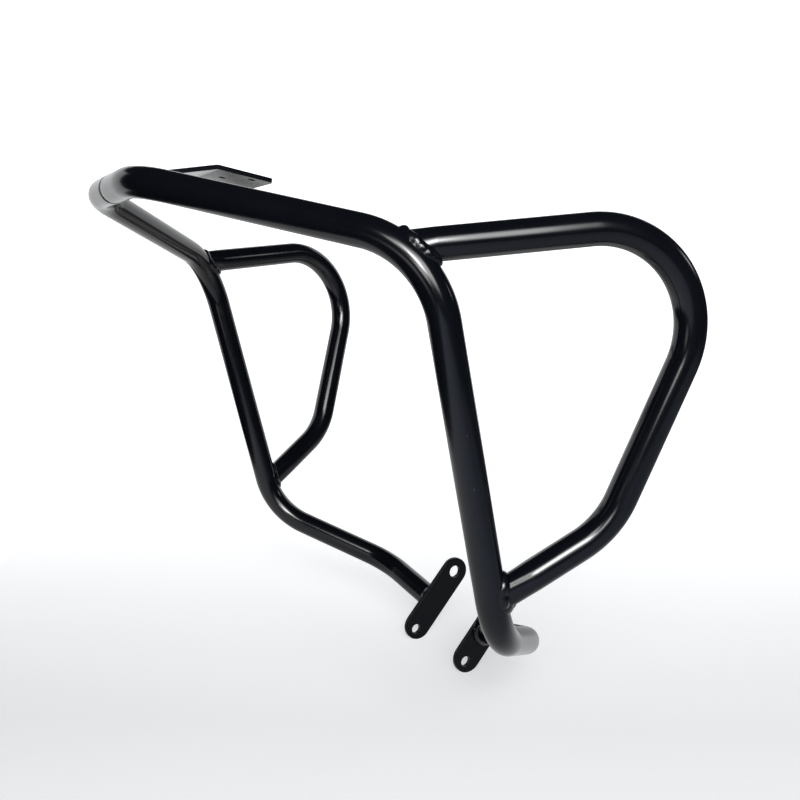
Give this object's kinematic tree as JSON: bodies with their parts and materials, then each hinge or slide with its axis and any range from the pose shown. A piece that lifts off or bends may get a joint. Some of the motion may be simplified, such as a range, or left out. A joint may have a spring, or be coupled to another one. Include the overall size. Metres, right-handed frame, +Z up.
{
  "type": "motorcycle crash bars",
  "caption": "Motorcycle crash bars of bent black steel tube: a hoop round the engine with a loop welded behind each side, drilled foot plates below and a folded bracket at the front.",
  "frame": {"origin": "on the lower foot bolt's axis, midway between the two foot plates", "axes": "+X to the rider's left along the foot bolts, -Y forward, +Z up as fitted on the motorcycle"},
  "size_m": [0.6504, 0.4085, 0.5066],
  "materials": {
    "black_powder_coat": "gloss",
    "coated_weld": "gloss",
    "bare_steel": "satin"
  },
  "bodies": {
    "root": {"main_tube_left": "black_powder_coat", "main_tube_right": "black_powder_coat", "joint_sleeve": "bare_steel", "loop_tube_left": "black_powder_coat", "loop_tube_right": "black_powder_coat", "foot_plate_left": "black_powder_coat", "foot_plate_right": "black_powder_coat", "top_bracket": "black_powder_coat", "loop_upper_weld_left": "coated_weld", "loop_upper_weld_right": "coated_weld", "loop_lower_weld_left": "coated_weld", "loop_lower_weld_right": "coated_weld", "foot_weld_left": "coated_weld", "foot_weld_right": "coated_weld", "bracket_weld_left": "coated_weld", "bracket_weld_right": "coated_weld"}
  },
  "joints": []
}
